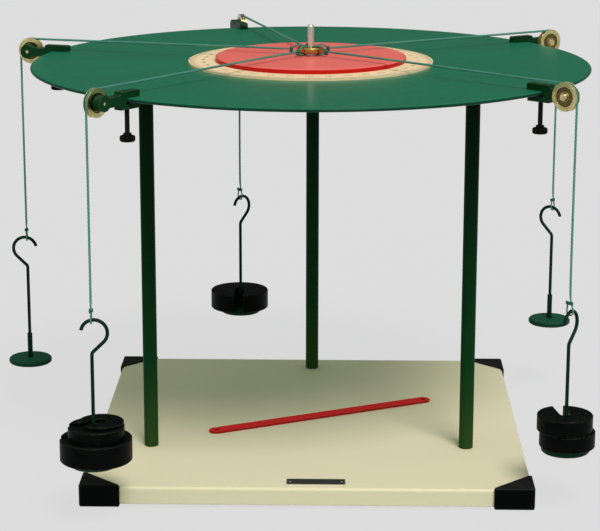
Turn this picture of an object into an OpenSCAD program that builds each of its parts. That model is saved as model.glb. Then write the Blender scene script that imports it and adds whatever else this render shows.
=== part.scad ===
// Polygon of forces apparatus: a round green table on three legs over a square tray base.
// Five pulleys are clamped to its rim. A cord runs from the ring round the centre pin over
// each pulley to a hook and pan, which carries slotted masses. A loose red link bar lies on
// the base. The origin is on the floor under the centre pin, +Z is up, the front faces -Y.

/* [Base] */
// Side of the square base tray
base_side = 384; // [350:2:440]
// Height of the tray's folded sides
base_height = 15; // [12:0.5:25]
// Sheet thickness of the tray
base_sheet = 1.2; // [0.8:0.1:2]
// Outside radius of the tray's folded edges
base_bend = 2.6; // [2.2:0.1:4]
// Length of a corner foot along each side of the tray
foot_side = 35; // [24:1:60]
// Wall thickness of a corner foot
foot_wall = 1.8; // [1.2:0.1:3]
// Thickness of the pad that a corner foot stands on
foot_pad = 3; // [2:0.5:8]
// Radius of the rounded lower edges of a corner foot
foot_round = 3; // [2:0.5:4]

/* [Legs] */
// Diameter of a leg
leg_d = 12.7; // [11:0.1:18]
// Length of a leg, from the tray to the table's underside
leg_length = 332; // [280:2:400]
// Radius of the circle on which the legs stand
leg_circle_r = 163; // [145:1:172]
// Diameter of the screws in the leg ends
leg_screw_d = 5; // [4:0.5:6]
// Length of a leg screw inside the leg
leg_screw_grip = 16; // [10:1:30]

/* [Table] */
// Diameter of the table
table_d = 500; // [440:2:560]
// Thickness of the table
table_t = 3; // [2.6:0.1:3.8]
// Diameter of the degree disc
degree_disc_d = 219; // [190:1:250]
// Thickness of the degree disc
degree_disc_t = 2; // [1:0.1:3]
// Diameter of the red centre disc
red_disc_d = 171; // [140:1:184]
// Thickness of the red centre disc
red_disc_t = 4.5; // [3:0.1:6]
// Width of the bevel round the red disc
red_disc_bevel = 2; // [1:0.1:2.8]

/* [Centre] */
// Diameter of the centre pin
pin_d = 6; // [5.4:0.1:7]
// Height of the pin above the table
pin_height = 34; // [30:1:50]
// Diameter of the stud under the pin
stud_d = 5; // [4:0.1:5.2]
// Outside diameter of the ring
ring_od = 24; // [23.8:0.1:24.2]
// Inside diameter of the ring
ring_id = 14; // [13.8:0.1:14.2]
// Thickness of the ring
ring_t = 5; // [4.8:0.1:5.2]
// Height of the ring's middle above the table
ring_rise = 11.5; // [11.4:0.1:11.6]

/* [Clamp pulleys] */
// Direction of the left clamp, in degrees from +X
left_angle = 163.2; // [155:0.1:175]
// Direction of the front left clamp
front_left_angle = 232.1; // [225:0.1:242]
// Direction of the front right clamp
front_right_angle = 319.9; // [300:0.1:330]
// Direction of the rear right clamp
rear_right_angle = 33.6; // [20:0.1:45]
// Direction of the rear clamp
rear_angle = 105.7; // [95:0.1:115]
// Width of a clamp and its arm
clamp_w = 8; // [7:0.1:10]
// Reach of the upper jaw over the table
upper_reach = 18; // [14:0.5:26]
// Thickness of the upper jaw
upper_jaw_t = 5.2; // [3:0.1:8]
// Reach of the lower jaw under the table
lower_reach = 15.5; // [12:0.5:20]
// Thickness of the lower jaw
lower_jaw_t = 4; // [3:0.1:6]
// Free height between the jaws
throat_h = 5.6; // [5.2:0.1:8]
// Thickness of the web outside the table's rim
web_t = 5.5; // [4:0.1:8]
// Height of the arm
arm_h = 8; // [6:0.1:10]
// Radius of the boss round the axle
boss_r = 6.5; // [5.5:0.1:8]
// Distance of the axle outside the table's rim
axle_out = 24.5; // [24.3:0.1:24.7]
// Height of the axle above the table's top
axle_rise = -1.5; // [-1.6:0.1:-1.4]
// Diameter of the axle
axle_d = 4; // [3.4:0.1:5]
// Diameter of the axle screw's thread
axle_thread_d = 3; // [2:0.1:3.2]
// Diameter of the axle screw's head
axle_head_d = 7.5; // [6:0.1:9]
// Thickness of the axle screw's head
axle_head_t = 2.2; // [1.5:0.1:3]

/* [Pulley wheel] */
// Outside diameter of a pulley wheel
wheel_d = 24; // [23.6:0.1:24.6]
// Width of a pulley wheel
wheel_w = 4.5; // [4.3:0.1:6]
// Diameter at the bottom of the groove
groove_d = 19.6; // [19:0.1:19.8]
// Width of the groove's flat bottom
groove_w = 2.4; // [2.2:0.1:2.8]
// Width of the rim's edge on each side of the groove
rim_edge = 0.4; // [0.3:0.05:0.6]
// Diameter of the wheel's hub
hub_d = 8.4; // [7.6:0.1:9]
// Depth of the dished faces
dish_depth = 1; // [0.5:0.1:1.4]

/* [Thumbscrew] */
// Diameter of a thumbscrew's shank
thumb_shank_d = 4; // [3:0.1:5]
// Distance of a thumbscrew inside the table's rim
thumb_in = 4.5; // [4:0.1:6]
// Length of a thumbscrew's shank
thumb_length = 26; // [20:1:34]
// Diameter of a thumbscrew's head
thumb_head_d = 12.8; // [11:0.1:16]
// Height of a thumbscrew's head
thumb_head_h = 4.8; // [4:0.1:8]
// Number of flutes round a thumbscrew's head
thumb_flutes = 20; // [12:1:26]

/* [Hangers] */
// Diameter of the hook's wire
hook_wire_d = 3; // [2.8:0.1:3.2]
// Radius of the hook to the middle of the wire
hook_r = 10.9; // [9.5:0.1:13]
// Distance of the hook's centre beside the stem
hook_side = 2.2; // [1:0.1:3]
// Height of the hook's centre above the stem's bend
hook_rise = 17.3; // [15:0.1:20]
// Length of the stem from its bend to the pan
stem_length = 91.3; // [86:0.1:110]
// Diameter of the stem's thick foot
stem_foot_d = 4.8; // [4:0.1:5.6]
// Length of the stem's thick foot
stem_foot_h = 24; // [10:1:40]
// Diameter of a hanger's pan
pan_d = 41; // [36:1:46]
// Thickness of a hanger's pan
pan_t = 5; // [4:0.1:7]
// Length of the left cord below its axle
left_drop = 181; // [160:0.5:190]
// Length of the front left cord below its axle
front_left_drop = 177.5; // [160:0.5:190]
// Length of the front right cord below its axle
front_right_drop = 179.5; // [160:0.5:190]
// Length of the rear right cord below its axle
rear_right_drop = 165; // [150:0.5:190]
// Length of the rear cord below its axle
rear_drop = 181; // [160:1:190]
// Diameter of a cord
cord_d = 1.5; // [1.3:0.05:1.5]

/* [Slotted masses] */
// Width of the slot in a mass
slot_w = 9.5; // [8:0.1:10.5]
// Bevel round the edges of a mass
mass_bevel = 0.8; // [0.4:0.1:1.5]
// Diameter of the largest mass
large_d = 60; // [54:1:64]
// Thickness of the largest mass
large_t = 19; // [16:0.5:24]
// Diameter of the middle masses
medium_d = 47; // [43:1:52]
// Thickness of the thick middle masses
medium_t = 14.1; // [12:0.1:18]
// Thickness of the thinner middle mass
thin_t = 10.5; // [6:0.1:11.5]
// Diameter of the small mass
small_d = 38; // [34:1:42]
// Thickness of the small mass
small_t = 2.6; // [2.2:0.1:5]

/* [Link bar] */
// Distance between the link bar's holes
link_centres = 216; // [180:1:240]
// Width of the link bar
link_w = 13; // [10:0.5:18]
// Thickness of the link bar
link_t = 2; // [1.5:0.1:4]
// Diameter of the link bar's holes
link_hole_d = 5; // [4:0.1:7]
// Angle of the link bar on the base
link_angle = 26.6; // [15:0.1:35]

/* [Hidden] */
$fn = 48;

// How far a cut runs past the face it opens.
through = 1;
// Gap under a mass, so that it rests on what is below and shares no space with it.
seat = 0.01;
// Radial play of a screw in its tapped hole, and of a pin in its bore.
play = 0.05;
// Gap between two pieces that move past each other.
gap = 0.3;

// Stations 1 to 5 run left, front left, front right, rear right and rear.
STATIONS = [1:5];
station_angle = [left_angle, front_left_angle, front_right_angle, rear_right_angle, rear_angle];
cord_drop = [left_drop, front_left_drop, front_right_drop, rear_right_drop, rear_drop];
// Direction that each hook opens to, in degrees from +X.
hook_facing = [0, 180, 235, 325, 228];
// How much shorter than the longest each stem came out, as the wires are bent by hand.
stem_short = [0, 0, 2.8, 5.8, 0];

deck_z = foot_pad + base_height;
table_under_z = deck_z + leg_length;
table_z = table_under_z + table_t;
red_top_z = table_z + degree_disc_t + red_disc_t;
ring_z = table_z + ring_rise;

leg_angles = [90, 210, 330];
leg_hole_depth = leg_screw_grip + 3;
leg_chamfer = 0.6;
washer_d = 3 * leg_screw_d;
washer_t = 1.2;
screw_head_d = 1.9 * leg_screw_d;
screw_head_t = 0.7 * leg_screw_d;
sunk_head_d = 1.7 * leg_screw_d;
sunk_head_t = (sunk_head_d - leg_screw_d) / 2;
screw_slot_w = 1.2;
screw_slot_depth = 1;

axle_x = table_d / 2 + axle_out;
axle_z = table_z + axle_rise;
throat_x = table_d / 2 + gap;
web_x = throat_x + web_t;
throat_top_z = table_z + gap;
throat_floor_z = throat_top_z - throat_h;
clamp_foot_z = throat_floor_z - lower_jaw_t;
thumb_x = table_d / 2 - thumb_in;
thumb_tip_z = table_under_z - gap;
side_play = 0.3;
arm_y = wheel_w / 2 + side_play + clamp_w / 2;
axle_thread_length = clamp_w - 0.5;

// The wire of the hook runs round an arc, down a slant that leaves it as a tangent, and
// round the bend into the stem.
hook_span = norm([hook_side, hook_rise]);
hook_leave = 270 + atan(hook_side / hook_rise) - acos(hook_r / hook_span);
slant_length = sqrt(hook_span * hook_span - hook_r * hook_r);
bend_r = 4;
hook_tip = 12;
// Height of the wire over the stem, where the hook hangs on its cord, above the bend.
hang_rise = hook_rise + sqrt(hook_r * hook_r - hook_side * hook_side);

// Route of a cord in the upright plane of its station, as distance from the centre pin and
// height above the table. It starts with its loop round the ring and ends at the wheel.
CORD_OVER = [
  [20, 9.6], [17, 9.5], [14.5, 8.4], [12.5, 7.9], [8, 7.9], [6.3, 8.8], [5.9, 11.5],
  [6.3, 14.2], [8, 15.1], [12.5, 15.1], [14.5, 14.4], [17.5, 12.2], [21, 11.5], [60, 11.2],
  [140, 10.5], [220, 9.8], [262, 9.5], [274.3, 9.4], [277.3, 9.1], [280, 7.9],
  [282.3, 6.3], [284, 4.1], [285.1, 1.4], [285.4, -1.5], [285.4, -8]
];
// The end of the route at the hook, as distance across the wire and height above its
// middle, where the cord loops under the wire and ends beside itself.
CORD_HOOK = [
  [0, 16], [0.4, 11], [1.7, 6], [2.8, 2], [2.8, 0], [2, -1.95], [0, -2.8], [-2, -1.95],
  [-2.8, 0], [-2.8, 2], [-2.4, 6], [-1.8, 9]
];
CORD_SIDES = 8;

cream = "#d8d2b4";
black = "#161616";
green = "#1f6b55";
dark_green = "#123f30";
red = "#cf4a44";
steel = "#b9bcbc";
brass = "#b99a55";
cord_grey = "#7d938a";

// Turns what is drawn along +X towards the direction of station n.
module at_station(n) {
  rotate([0, 0, station_angle[n - 1]]) children();
}

// Places what is drawn round a hook's hanging point, with the hook's opening along +X.
module at_hook(n) {
  at_station(n)
    translate([axle_x + groove_hang_r(), 0, axle_z - cord_drop[n - 1]])
      rotate([0, 0, hook_facing[n - 1] - station_angle[n - 1]]) children();
}

// Distance from the axle to the middle of a cord that hangs off the wheel.
function stem(n) = stem_length - stem_short[n - 1];

function groove_hang_r() = CORD_OVER[len(CORD_OVER) - 1][0] - 274.5;

// Places what is drawn flat as a side view, as X and Z, and centres it on the XZ plane.
module side_on(width) {
  rotate([90, 0, 0]) linear_extrude(width, center = true) children();
}

// A quarter of a fillet that fills the corner between +X and +Y.
module corner_fill(r) {
  difference() {
    square(r);
    translate([r, r]) circle(r);
  }
}

// Section of the tray: a flat top with round folded edges, open at the bottom.
module tray_section(side, height, bend) {
  translate([-side / 2, 0]) square([side, height - bend]);
  translate([bend - side / 2, 0]) square([side - 2 * bend, height]);
  for (s = [-1, 1]) translate([s * (side / 2 - bend), height - bend]) circle(bend);
}

module tray_form(side, height, bend) {
  intersection() {
    side_on(side) tray_section(side, height, bend);
    rotate([0, 0, 90]) side_on(side) tray_section(side, height, bend);
  }
}

module at_legs() {
  for (a = leg_angles) rotate([0, 0, a]) translate([leg_circle_r, 0, 0]) children();
}

module base_tray() {
  color(cream)
    difference() {
      translate([0, 0, foot_pad]) tray_form(base_side, base_height, base_bend);
      translate([0, 0, foot_pad - through])
        tray_form(base_side - 2 * base_sheet, base_height - base_sheet + through,
                  base_bend - base_sheet);
      at_legs()
        translate([0, 0, deck_z - base_sheet - through])
          cylinder(r = leg_screw_d / 2 + gap, h = base_sheet + 2 * through);
    }
}

// A corner foot wraps the tray's corner: two side walls, a web over the top and a pad
// under it. The outline is drawn with its outer corner at the origin.
module foot_outline(corner_r) {
  difference() {
    polygon([
      [0, 0], [-foot_side, 0], [-foot_side, -foot_wall],
      [-foot_wall, -foot_side], [0, -foot_side]
    ]);
    translate([-corner_r, -corner_r])
      difference() {
        square(corner_r + through);
        circle(corner_r);
      }
  }
}

// The foot from the side, with its outer face at 0. The moulding's lower edges are rounded
// by foot_round and its upper ones by its wall.
module foot_profile() {
  top = deck_z + foot_wall;
  translate([foot_round - foot_side, 0]) square([foot_side - 2 * foot_round, top]);
  translate([foot_wall - foot_side, foot_round])
    square([foot_side - 2 * foot_wall, top - foot_round]);
  translate([-foot_side, foot_round]) square([foot_side, top - foot_round - foot_wall]);
  for (x = [foot_round - foot_side, -foot_round]) translate([x, foot_round]) circle(foot_round);
  for (x = [foot_wall - foot_side, -foot_wall])
    translate([x, top - foot_wall]) circle(foot_wall);
}

module corner_foot(turn) {
  reach = base_side / 2 + foot_wall;
  color(black)
    rotate([0, 0, turn])
      difference() {
        translate([reach, reach, 0])
          intersection() {
            linear_extrude(deck_z + foot_wall) foot_outline(base_bend + foot_wall);
            translate([0, through, 0])
              rotate([90, 0, 0]) linear_extrude(foot_side + 2 * through) foot_profile();
            translate([-foot_side - through, 0, 0])
              rotate([90, 0, 90]) linear_extrude(foot_side + 2 * through) foot_profile();
          }
        translate([0, 0, foot_pad]) tray_form(base_side, base_height, base_bend);
      }
}

module leg(angle) {
  color(dark_green)
    rotate([0, 0, angle])
      translate([leg_circle_r, 0, deck_z])
        difference() {
          rotate_extrude()
            polygon([
              [0, 0], [leg_d / 2 - leg_chamfer, 0], [leg_d / 2, leg_chamfer],
              [leg_d / 2, leg_length - leg_chamfer], [leg_d / 2 - leg_chamfer, leg_length],
              [0, leg_length]
            ]);
          for (z = [-through, leg_length - leg_hole_depth])
            translate([0, 0, z])
              cylinder(r = leg_screw_d / 2 + play, h = leg_hole_depth + through);
        }
}

// Screws and washers under the tray, one for each leg.
module leg_screws_base() {
  under_z = deck_z - base_sheet;
  color(steel)
    at_legs() {
      difference() {
        translate([0, 0, under_z - washer_t]) cylinder(d = washer_d, h = washer_t);
        translate([0, 0, under_z - washer_t - through])
          cylinder(r = leg_screw_d / 2 + gap, h = washer_t + 2 * through);
      }
      difference() {
        union() {
          translate([0, 0, under_z - washer_t - screw_head_t])
            cylinder(d = screw_head_d, h = screw_head_t);
          translate([0, 0, under_z - washer_t])
            cylinder(d = leg_screw_d, h = washer_t + base_sheet + leg_screw_grip);
        }
        screw_slot(screw_head_d, under_z - washer_t - screw_head_t - through);
      }
    }
}

// A screwdriver slot that starts at z and runs up through the face of a head.
module screw_slot(head_d, z) {
  translate([-head_d, -screw_slot_w / 2, z])
    cube([2 * head_d, screw_slot_w, screw_slot_depth + through]);
}

// A countersunk head, widest at z = 0.
module sunk_form(shank_d, head_d, head_t, shank_length) {
  translate([0, 0, -head_t])
    cylinder(d1 = shank_d, d2 = head_d, h = head_t);
  translate([0, 0, -shank_length]) cylinder(d = shank_d, h = shank_length - head_t);
}

// Countersunk screws through the table, one for each leg.
module leg_screws_table() {
  color(green)
    at_legs()
      difference() {
        translate([0, 0, table_z])
          sunk_form(leg_screw_d, sunk_head_d, sunk_head_t, table_t + leg_screw_grip);
        screw_slot(sunk_head_d, table_z - screw_slot_depth);
      }
}

// A flat disc whose rim is a half round.
module round_rim_disc(d, t) {
  rotate_extrude($fn = 180) {
    square([d / 2 - t / 2, t]);
    translate([d / 2 - t / 2, t / 2]) circle(t / 2);
  }
}

module table_top() {
  hole_d = leg_screw_d + 2 * play;
  color(green)
    difference() {
      translate([0, 0, table_under_z]) round_rim_disc(table_d, table_t);
      at_legs()
        translate([0, 0, table_z]) {
          sunk_form(hole_d, sunk_head_d + 2 * play, sunk_head_t, table_t + through);
          cylinder(d = sunk_head_d + 2 * play, h = through);
        }
      stud_hole(table_under_z, table_t);
    }
}

module stud_hole(z, t) {
  translate([0, 0, z - through]) cylinder(r = stud_d / 2 + play, h = t + 2 * through);
}

module degree_disc() {
  color(cream)
    difference() {
      translate([0, 0, table_z]) cylinder(d = degree_disc_d, h = degree_disc_t, $fn = 180);
      stud_hole(table_z, degree_disc_t);
    }
}

module red_disc() {
  rise = red_disc_bevel / 2;
  color(red)
    difference() {
      translate([0, 0, table_z + degree_disc_t]) {
        cylinder(d = red_disc_d, h = red_disc_t - rise, $fn = 180);
        translate([0, 0, red_disc_t - rise])
          cylinder(d1 = red_disc_d, d2 = red_disc_d - 2 * red_disc_bevel, h = rise, $fn = 180);
      }
      stud_hole(table_z + degree_disc_t, red_disc_t);
    }
}

// The pin stands on the red disc. Its stud goes down through both discs and the table.
nut_t = 0.8 * stud_d;
nut_flats = 1.6 * stud_d;
nut_washer_t = 1;
nut_washer_d = 2 * stud_d;

module centre_pin() {
  stud_end_z = table_under_z - nut_washer_t - nut_t - 2;
  straight = pin_height - degree_disc_t - red_disc_t - pin_d / 4;
  color(steel)
    translate([0, 0, red_top_z]) {
      cylinder(d = pin_d, h = straight);
      translate([0, 0, straight]) cylinder(d1 = pin_d, d2 = pin_d / 2, h = pin_d / 4);
      translate([0, 0, stud_end_z - red_top_z])
        cylinder(d = stud_d, h = red_top_z - stud_end_z);
    }
}

module pin_nut() {
  color(steel)
    difference() {
      union() {
        translate([0, 0, table_under_z - nut_washer_t]) cylinder(d = nut_washer_d, h = nut_washer_t);
        translate([0, 0, table_under_z - nut_washer_t - nut_t])
          cylinder(d = nut_flats / cos(30), h = nut_t, $fn = 6);
      }
      stud_hole(table_under_z - nut_washer_t - nut_t, nut_washer_t + nut_t);
    }
}

module centre_ring() {
  width = (ring_od - ring_id) / 2;
  edge = 1.2;
  color(brass)
    translate([0, 0, ring_z - ring_t / 2])
      rotate_extrude($fn = 96)
        translate([ring_id / 2, 0]) {
          translate([0, edge]) square([width, ring_t - 2 * edge]);
          translate([edge, 0]) square([width - 2 * edge, ring_t]);
          for (x = [edge, width - edge])
            for (y = [edge, ring_t - edge]) translate([x, y]) circle(edge);
        }
}

// Side view of a clamp: two jaws round the table's edge, the web that joins them, and the
// arm out to the boss that holds the axle.
module clamp_side() {
  jaw_top_z = throat_top_z + upper_jaw_t;
  arm_low_z = axle_z - arm_h / 2;
  fill = 2.5;
  nose = upper_jaw_t / 2;
  translate([table_d / 2 - upper_reach + nose, throat_top_z])
    square([web_x - table_d / 2 + upper_reach - nose, upper_jaw_t]);
  translate([table_d / 2 - upper_reach + nose, throat_top_z + nose]) circle(nose);
  translate([table_d / 2 - lower_reach, clamp_foot_z])
    square([web_x - table_d / 2 + lower_reach, lower_jaw_t]);
  translate([throat_x, clamp_foot_z]) square([web_t, jaw_top_z - clamp_foot_z]);
  translate([throat_x, arm_low_z]) square([axle_x - throat_x, arm_h]);
  translate([axle_x, axle_z]) circle(boss_r);
  translate([web_x, arm_low_z + arm_h]) corner_fill(min(fill, jaw_top_z - arm_low_z - arm_h));
  translate([web_x, arm_low_z])
    mirror([0, 1]) corner_fill(min(fill, arm_low_z - clamp_foot_z));
}

// Seen from above, a clamp is a bar with a round end over the table.
module clamp_plan() {
  start = table_d / 2 - upper_reach;
  end = axle_x + boss_r + through;
  translate([start + clamp_w / 2, -clamp_w / 2]) square([end - start - clamp_w / 2, clamp_w]);
  translate([start + clamp_w / 2, 0]) circle(d = clamp_w);
}

module clamp_frame(n) {
  color(dark_green)
    at_station(n)
      translate([0, arm_y, 0])
        difference() {
          intersection() {
            side_on(clamp_w) clamp_side();
            translate([0, 0, clamp_foot_z - through])
              linear_extrude(3 * clamp_w + boss_r) clamp_plan();
          }
          translate([thumb_x, 0, clamp_foot_z - through])
            cylinder(r = thumb_shank_d / 2 + play, h = lower_jaw_t + 2 * through);
          translate([axle_x, 0, axle_z])
            rotate([90, 0, 0])
              cylinder(r = axle_thread_d / 2 + play, h = clamp_w + 2 * through, center = true);
        }
}

// A thumbscrew from its tip under the table down to its fluted head.
module thumbscrew(n) {
  head_z = thumb_tip_z - thumb_length;
  collar_d = 7;
  collar_h = 2;
  head_chamfer = 0.8;
  head_r = thumb_head_d / 2;
  flute_r = 0.3 * PI * thumb_head_d / thumb_flutes;
  color(black)
    at_station(n)
      translate([thumb_x, arm_y, 0]) {
        translate([0, 0, head_z]) cylinder(d = thumb_shank_d, h = thumb_length);
        translate([0, 0, head_z - collar_h]) cylinder(d = collar_d, h = collar_h);
        translate([0, 0, head_z - collar_h - thumb_head_h])
          difference() {
            rotate_extrude()
              polygon([
                [0, 0], [head_r - head_chamfer, 0], [head_r, head_chamfer],
                [head_r, thumb_head_h - head_chamfer], [head_r - head_chamfer, thumb_head_h],
                [0, thumb_head_h]
              ]);
            for (k = [0:thumb_flutes - 1])
              rotate([0, 0, k * 360 / thumb_flutes])
                translate([head_r + 0.35 * flute_r, 0, -through])
                  cylinder(r = flute_r, h = thumb_head_h + 2 * through, $fn = 16);
          }
      }
}

// Half section of a pulley wheel as radius and width: hub, dished web and grooved rim.
module wheel_section() {
  bore_r = axle_d / 2 + play;
  rim_r = wheel_d / 2;
  half = wheel_w / 2;
  rim_in = groove_d / 2 - 1.6;
  slope = 0.5;
  polygon([
    [bore_r, -half], [hub_d / 2, -half], [hub_d / 2 + slope, dish_depth - half],
    [rim_in - slope, dish_depth - half], [rim_in, -half], [rim_r, -half],
    [rim_r, rim_edge - half], [groove_d / 2, -groove_w / 2], [groove_d / 2, groove_w / 2],
    [rim_r, half - rim_edge], [rim_r, half], [rim_in, half],
    [rim_in - slope, half - dish_depth], [hub_d / 2 + slope, half - dish_depth],
    [hub_d / 2, half], [bore_r, half]
  ]);
}

module pulley_wheel(n) {
  color(brass)
    at_station(n)
      translate([axle_x, 0, axle_z]) rotate([90, 0, 0]) rotate_extrude($fn = 72) wheel_section();
}

// The shoulder screw on which a wheel runs: its head is outside the wheel and its thread
// in the arm.
module axle_screw(n) {
  shoulder = wheel_w + 2 * side_play;
  color(brass)
    at_station(n)
      translate([axle_x, wheel_w / 2 + side_play, axle_z])
        rotate([90, 0, 0]) {
          cylinder(d = axle_d, h = shoulder);
          translate([0, 0, -axle_thread_length]) cylinder(d = axle_thread_d, h = axle_thread_length);
          translate([0, 0, shoulder])
            difference() {
              cylinder(d1 = axle_head_d, d2 = 0.8 * axle_head_d, h = axle_head_t);
              screw_slot(axle_head_d, axle_head_t - screw_slot_depth);
            }
        }
}

function unit(v) = v / norm(v);

function along(path, i) =
  unit(path[min(i + 1, len(path) - 1)] - path[max(i - 1, 0)]);

// Corners of the cord's section at point i, square to the path.
function cord_corners(path, i, side) =
  let (t = along(path, i), a = unit(cross(t, side)), b = cross(t, a))
  [for (k = [0:CORD_SIDES - 1])
    path[i] + cord_d / 2 * (cos(k * 360 / CORD_SIDES) * a + sin(k * 360 / CORD_SIDES) * b)];

// A closed tube along path. side is a direction that the path never takes.
module cord_tube(path, side) {
  rings = len(path);
  points = [for (i = [0:rings - 1]) each cord_corners(path, i, side)];
  walls = [
    for (i = [0:rings - 2])
      for (k = [0:CORD_SIDES - 1])
        let (near = i * CORD_SIDES, k2 = (k + 1) % CORD_SIDES)
        [near + k, near + k2, near + CORD_SIDES + k2, near + CORD_SIDES + k]
  ];
  start = [for (k = [CORD_SIDES - 1:-1:0]) k];
  end = [for (k = [0:CORD_SIDES - 1]) (rings - 1) * CORD_SIDES + k];
  polyhedron(points, concat([start], walls, [end]));
}

// The whole route of cord n, with X away from the centre pin along its station.
function cord_path(n) =
  let (
    turn = hook_facing[n - 1] + 90 - station_angle[n - 1],
    hang_x = axle_x + groove_hang_r(),
    hang_z = axle_z - cord_drop[n - 1]
  )
  concat(
    [for (p = CORD_OVER) [p[0], 0, table_z + p[1]]],
    [for (p = CORD_HOOK) [hang_x + p[0] * cos(turn), p[0] * sin(turn), hang_z + p[1]]]
  );

module cord(n) {
  color(cord_grey) at_station(n) cord_tube(cord_path(n), [0.02, 1, 0.01]);
}

// An arc of the hook's wire in the XZ plane, round the origin, from angle a by turn.
module wire_arc(r, a, turn) {
  rotate([90, 0, 0])
    rotate([0, 0, a]) rotate_extrude(angle = turn) translate([r, 0]) circle(d = hook_wire_d);
}

// Joins two lengths of the wire at a point of the XZ plane.
module wire_joint(x, z) {
  translate([x, 0, z]) sphere(d = hook_wire_d + 0.06);
}

// The hook and its stem in one bent wire, drawn with the hanging point at the origin and
// the hook's opening along +X. Below the hook, the bend into the stem is at the origin.
module hanger_hook(n) {
  slant = 270 - hook_leave;
  run = bend_r * tan((90 - slant) / 2);
  color(dark_green)
    at_hook(n)
      translate([0, 0, -hang_rise]) {
        translate([-hook_side, 0, hook_rise]) wire_arc(hook_r, hook_tip, hook_leave - hook_tip);
        wire_joint(-slant_length * cos(slant), slant_length * sin(slant));
        translate([-run * cos(slant), 0, run * sin(slant)])
          rotate([0, slant - 90, 0]) cylinder(d = hook_wire_d, h = slant_length - run);
        wire_joint(-run * cos(slant), run * sin(slant));
        translate([-bend_r, 0, -run]) wire_arc(bend_r, 0, 90 - slant);
        wire_joint(0, -run);
        translate([0, 0, -stem(n) - pan_t])
          cylinder(d = hook_wire_d, h = stem(n) + pan_t - run);
        translate([0, 0, -stem(n)]) cylinder(d = stem_foot_d, h = stem_foot_h);
      }
}

// The pan that carries the masses, riveted to the end of the stem.
module hanger_pan(n) {
  edge = 1.2;
  r = pan_d / 2;
  bore_r = hook_wire_d / 2 + play;
  color(green)
    at_hook(n)
      translate([0, 0, -hang_rise - stem(n) - pan_t])
        rotate_extrude($fn = 72)
          polygon([
            [bore_r, 0], [r - edge, 0], [r, edge], [r, pan_t - edge], [r - edge, pan_t],
            [bore_r, pan_t]
          ]);
}

// A slotted mass on the hanger of station n. lift is its height over the pan, facing the
// direction of its slot in degrees from +X, and offset its place beside the stem.
module slotted_mass(n, d, t, lift, facing, offset) {
  r = d / 2;
  b = mass_bevel;
  color(black)
    at_hook(n)
      rotate([0, 0, -hook_facing[n - 1]])
        translate([offset[0], offset[1], lift + seat - hang_rise - stem(n)])
          rotate([0, 0, facing])
            difference() {
              rotate_extrude($fn = 96)
                polygon([[0, 0], [r - b, 0], [r, b], [r, t - b], [r - b, t], [0, t]]);
              translate([0, 0, -through]) cylinder(d = slot_w, h = t + 2 * through);
              translate([0, -slot_w / 2, -through]) cube([d, slot_w, t + 2 * through]);
            }
}

module link_bar() {
  color(red)
    translate([11.4, 5.4, deck_z])
      rotate([0, 0, link_angle])
        linear_extrude(link_t)
          difference() {
            union() {
              translate([-link_centres / 2, -link_w / 2]) square([link_centres, link_w]);
              for (s = [-1, 1]) translate([s * link_centres / 2, 0]) circle(d = link_w);
            }
            for (s = [-1, 1]) translate([s * link_centres / 2, 0]) circle(d = link_hole_d);
          }
}

base_tray();
corner_foot(0);  // foot_rear_right
corner_foot(90);  // foot_rear_left
corner_foot(180);  // foot_front_left
corner_foot(270);  // foot_front_right
leg(leg_angles[0]);  // leg_rear
leg(leg_angles[1]);  // leg_front_left
leg(leg_angles[2]);  // leg_front_right
leg_screws_base();
leg_screws_table();
table_top();
degree_disc();
red_disc();
centre_pin();
pin_nut();
centre_ring();
for (n = STATIONS) {
  clamp_frame(n);
  thumbscrew(n);
  pulley_wheel(n);
  axle_screw(n);
  cord(n);
  hanger_hook(n);
  hanger_pan(n);
}
slotted_mass(2, large_d, large_t, 0, 180, [1.7, 0]);  // mass_2_large
slotted_mass(2, medium_d, thin_t, large_t + seat, 180, [2.1, 0]);  // mass_2_middle
slotted_mass(2, small_d, small_t, large_t + thin_t + 2 * seat, 215, [5.7, 4]);  // mass_2_small
slotted_mass(3, medium_d, medium_t, 0, 90, [1.2, -0.5]);  // mass_3_lower
slotted_mass(3, medium_d, medium_t, medium_t + seat, 100, [-1.2, -1]);  // mass_3_upper
slotted_mass(5, large_d, large_t, 0, 270, [-1.2, 1]);  // mass_5_large
link_bar();
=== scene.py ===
# %% [markdown]
# # A polygon of forces apparatus
#
# A round table stands on three legs over a square tray. Five small pulleys are clamped to its
# rim, and cords run from a ring in the middle over the pulleys to hangers with slotted masses.
# The hard parts come in finished from CAD, so this lesson is about what CAD leaves out: the
# camera, the light, the twisted cord, the printed scale and above all the surfaces. The first
# cell loads the CAD pieces.

# %% Load the apparatus
import math

import bmesh
import bpy
from mathutils import Matrix, Vector


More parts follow.
